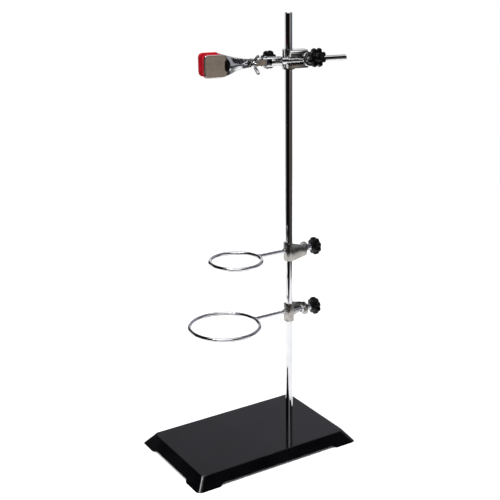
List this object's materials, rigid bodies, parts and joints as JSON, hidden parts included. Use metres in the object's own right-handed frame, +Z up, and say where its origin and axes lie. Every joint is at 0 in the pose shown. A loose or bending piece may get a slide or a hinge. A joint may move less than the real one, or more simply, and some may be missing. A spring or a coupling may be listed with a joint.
{
  "type": "retort stand",
  "caption": "Laboratory retort stand: pressed black base, upright rod, support rings on hook brackets with star knobs, boss head and a lined two-jaw clamp closed by a wing nut.",
  "frame": {"origin": "centre of the base's footprint, on the surface it stands on", "axes": "+Z up along the upright rod, +X along the base's length towards the rod, +Y to the back, away from the clamp's closing nut"},
  "size_m": [0.2718, 0.168, 0.602],
  "materials": {
    "base_enamel": "smooth gloss black stoving enamel on pressed sheet",
    "rod_chrome": "polished chrome plate",
    "ring_chrome": "bright chrome plate on wire",
    "bracket_plate": "bright nickel plate on pressed sheet",
    "boss_casting": "plated casting, satin with polished edges",
    "screw_steel": "bright zinc plate",
    "knob_plastic": "black moulded plastic, semi-gloss",
    "jaw_chrome": "bright chrome plate on pressed sheet",
    "jaw_lining": "soft red rubber"
  },
  "bodies": {
    "stand": {"base_plate": "base_enamel", "rod_backing_plate": "base_enamel", "rod_washer": "screw_steel", "rod_nut": "screw_steel", "upright_rod": "rod_chrome"},
    "lower_ring_holder": {"lower_support_ring": "ring_chrome", "lower_ring_bracket": "bracket_plate", "lower_bracket_nut": "screw_steel"},
    "lower_screw": {"lower_bracket_screw": "screw_steel"},
    "lower_knob": {"lower_bracket_knob": "knob_plastic"},
    "upper_ring_holder": {"upper_support_ring": "ring_chrome", "upper_ring_bracket": "bracket_plate", "upper_bracket_nut": "screw_steel"},
    "upper_screw": {"upper_bracket_screw": "screw_steel"},
    "upper_knob": {"upper_bracket_knob": "knob_plastic"},
    "boss": {"boss_head": "boss_casting"},
    "arm_screw": {"arm_screw": "screw_steel"},
    "arm_knob": {"arm_knob": "knob_plastic"},
    "rod_screw": {"rod_screw": "screw_steel"},
    "rod_knob": {"rod_knob": "knob_plastic"},
    "clamp_arm": {"clamp_arm": "rod_chrome"},
    "clamp_head": {"clamp_ferrule": "jaw_chrome", "fixed_jaw": "jaw_chrome", "fixed_jaw_lining": "jaw_lining", "fixed_jaw_rivet": "screw_steel", "jaw_pivot_pin": "screw_steel", "closing_screw": "screw_steel"},
    "moving_jaw": {"moving_jaw": "jaw_chrome", "moving_jaw_lining": "jaw_lining"},
    "closing_washer": {"closing_washer": "screw_steel"},
    "wing_nut": {"closing_wing_nut": "screw_steel"}
  },
  "joints": [
    {"name": "lower_ring_height", "type": "slide", "parent": "stand", "child": "lower_ring_holder", "axis": [0, 0, 1], "range_m": [-0.15, 0.03]},
    {"name": "lower_screw_travel", "type": "slide", "parent": "lower_ring_holder", "child": "lower_screw", "axis": [1, 0, 0], "range_m": [0, 0.006]},
    {"name": "lower_knob_spin", "type": "hinge", "parent": "lower_screw", "child": "lower_knob", "pos_m": [0.07, 0, 0.1863], "axis": [1, 0, 0], "range_deg": [0, 2160]},
    {"name": "upper_ring_height", "type": "slide", "parent": "stand", "child": "upper_ring_holder", "axis": [0, 0, 1], "range_m": [-0.03, 0.11]},
    {"name": "upper_screw_travel", "type": "slide", "parent": "upper_ring_holder", "child": "upper_screw", "axis": [1, 0, 0], "range_m": [0, 0.006]},
    {"name": "upper_knob_spin", "type": "hinge", "parent": "upper_screw", "child": "upper_knob", "pos_m": [0.07, 0, 0.2768], "axis": [1, 0, 0], "range_deg": [0, 2160]},
    {"name": "boss_height", "type": "slide", "parent": "stand", "child": "boss", "axis": [0, 0, 1], "range_m": [-0.12, 0.045]},
    {"name": "arm_screw_travel", "type": "slide", "parent": "boss", "child": "arm_screw", "axis": [-0.2208, -0.9565, 0.1908], "range_m": [0, 0.005]},
    {"name": "arm_knob_spin", "type": "hinge", "parent": "arm_screw", "child": "arm_knob", "pos_m": [0.08693, -0.01735, 0.5416], "axis": [-0.2208, -0.9565, 0.1908], "range_deg": [0, 1800]},
    {"name": "rod_screw_travel", "type": "slide", "parent": "boss", "child": "rod_screw", "axis": [-0.165, 0.9863, 0], "range_m": [0, 0.006]},
    {"name": "rod_knob_spin", "type": "hinge", "parent": "rod_screw", "child": "rod_knob", "pos_m": [0.07, 0, 0.5376], "axis": [-0.165, 0.9863, 0], "range_deg": [0, 2160]},
    {"name": "arm_slide", "type": "slide", "parent": "boss", "child": "clamp_arm", "axis": [0.9744, -0.225, 0], "range_m": [-0.04, 0.005]},
    {"name": "head_roll", "type": "hinge", "parent": "clamp_arm", "child": "clamp_head", "pos_m": [0.06705, -0.01276, 0.5416], "axis": [0.9744, -0.225, 0], "continuous": true},
    {"name": "jaw_pivot", "type": "hinge", "parent": "clamp_head", "child": "moving_jaw", "pos_m": [0.0302, -0.00569, 0.5416], "axis": [0, 0, 1], "range_deg": [-5.5, 12.5]},
    {"name": "washer_travel", "type": "slide", "parent": "clamp_head", "child": "closing_washer", "axis": [-0.225, -0.9744, 0], "range_m": [-0.0019, 0.0044]},
    {"name": "wing_nut_spin", "type": "hinge", "parent": "closing_washer", "child": "wing_nut", "pos_m": [0.01346, -0.00039, 0.5416], "axis": [-0.225, -0.9744, 0], "range_deg": [-820, 1900]}
  ],
  "couplings": [
    {"joint": "lower_screw_travel", "follows": "lower_knob_spin", "m_per_rad": 0.00015915},
    {"joint": "upper_screw_travel", "follows": "upper_knob_spin", "m_per_rad": 0.00015915},
    {"joint": "arm_screw_travel", "follows": "arm_knob_spin", "m_per_rad": 0.00015915},
    {"joint": "rod_screw_travel", "follows": "rod_knob_spin", "m_per_rad": 0.00015915},
    {"joint": "washer_travel", "follows": "wing_nut_spin", "m_per_rad": 0.00012732},
    {"joint": "jaw_pivot", "follows": "wing_nut_spin", "ratio": 0.0065294}
  ]
}
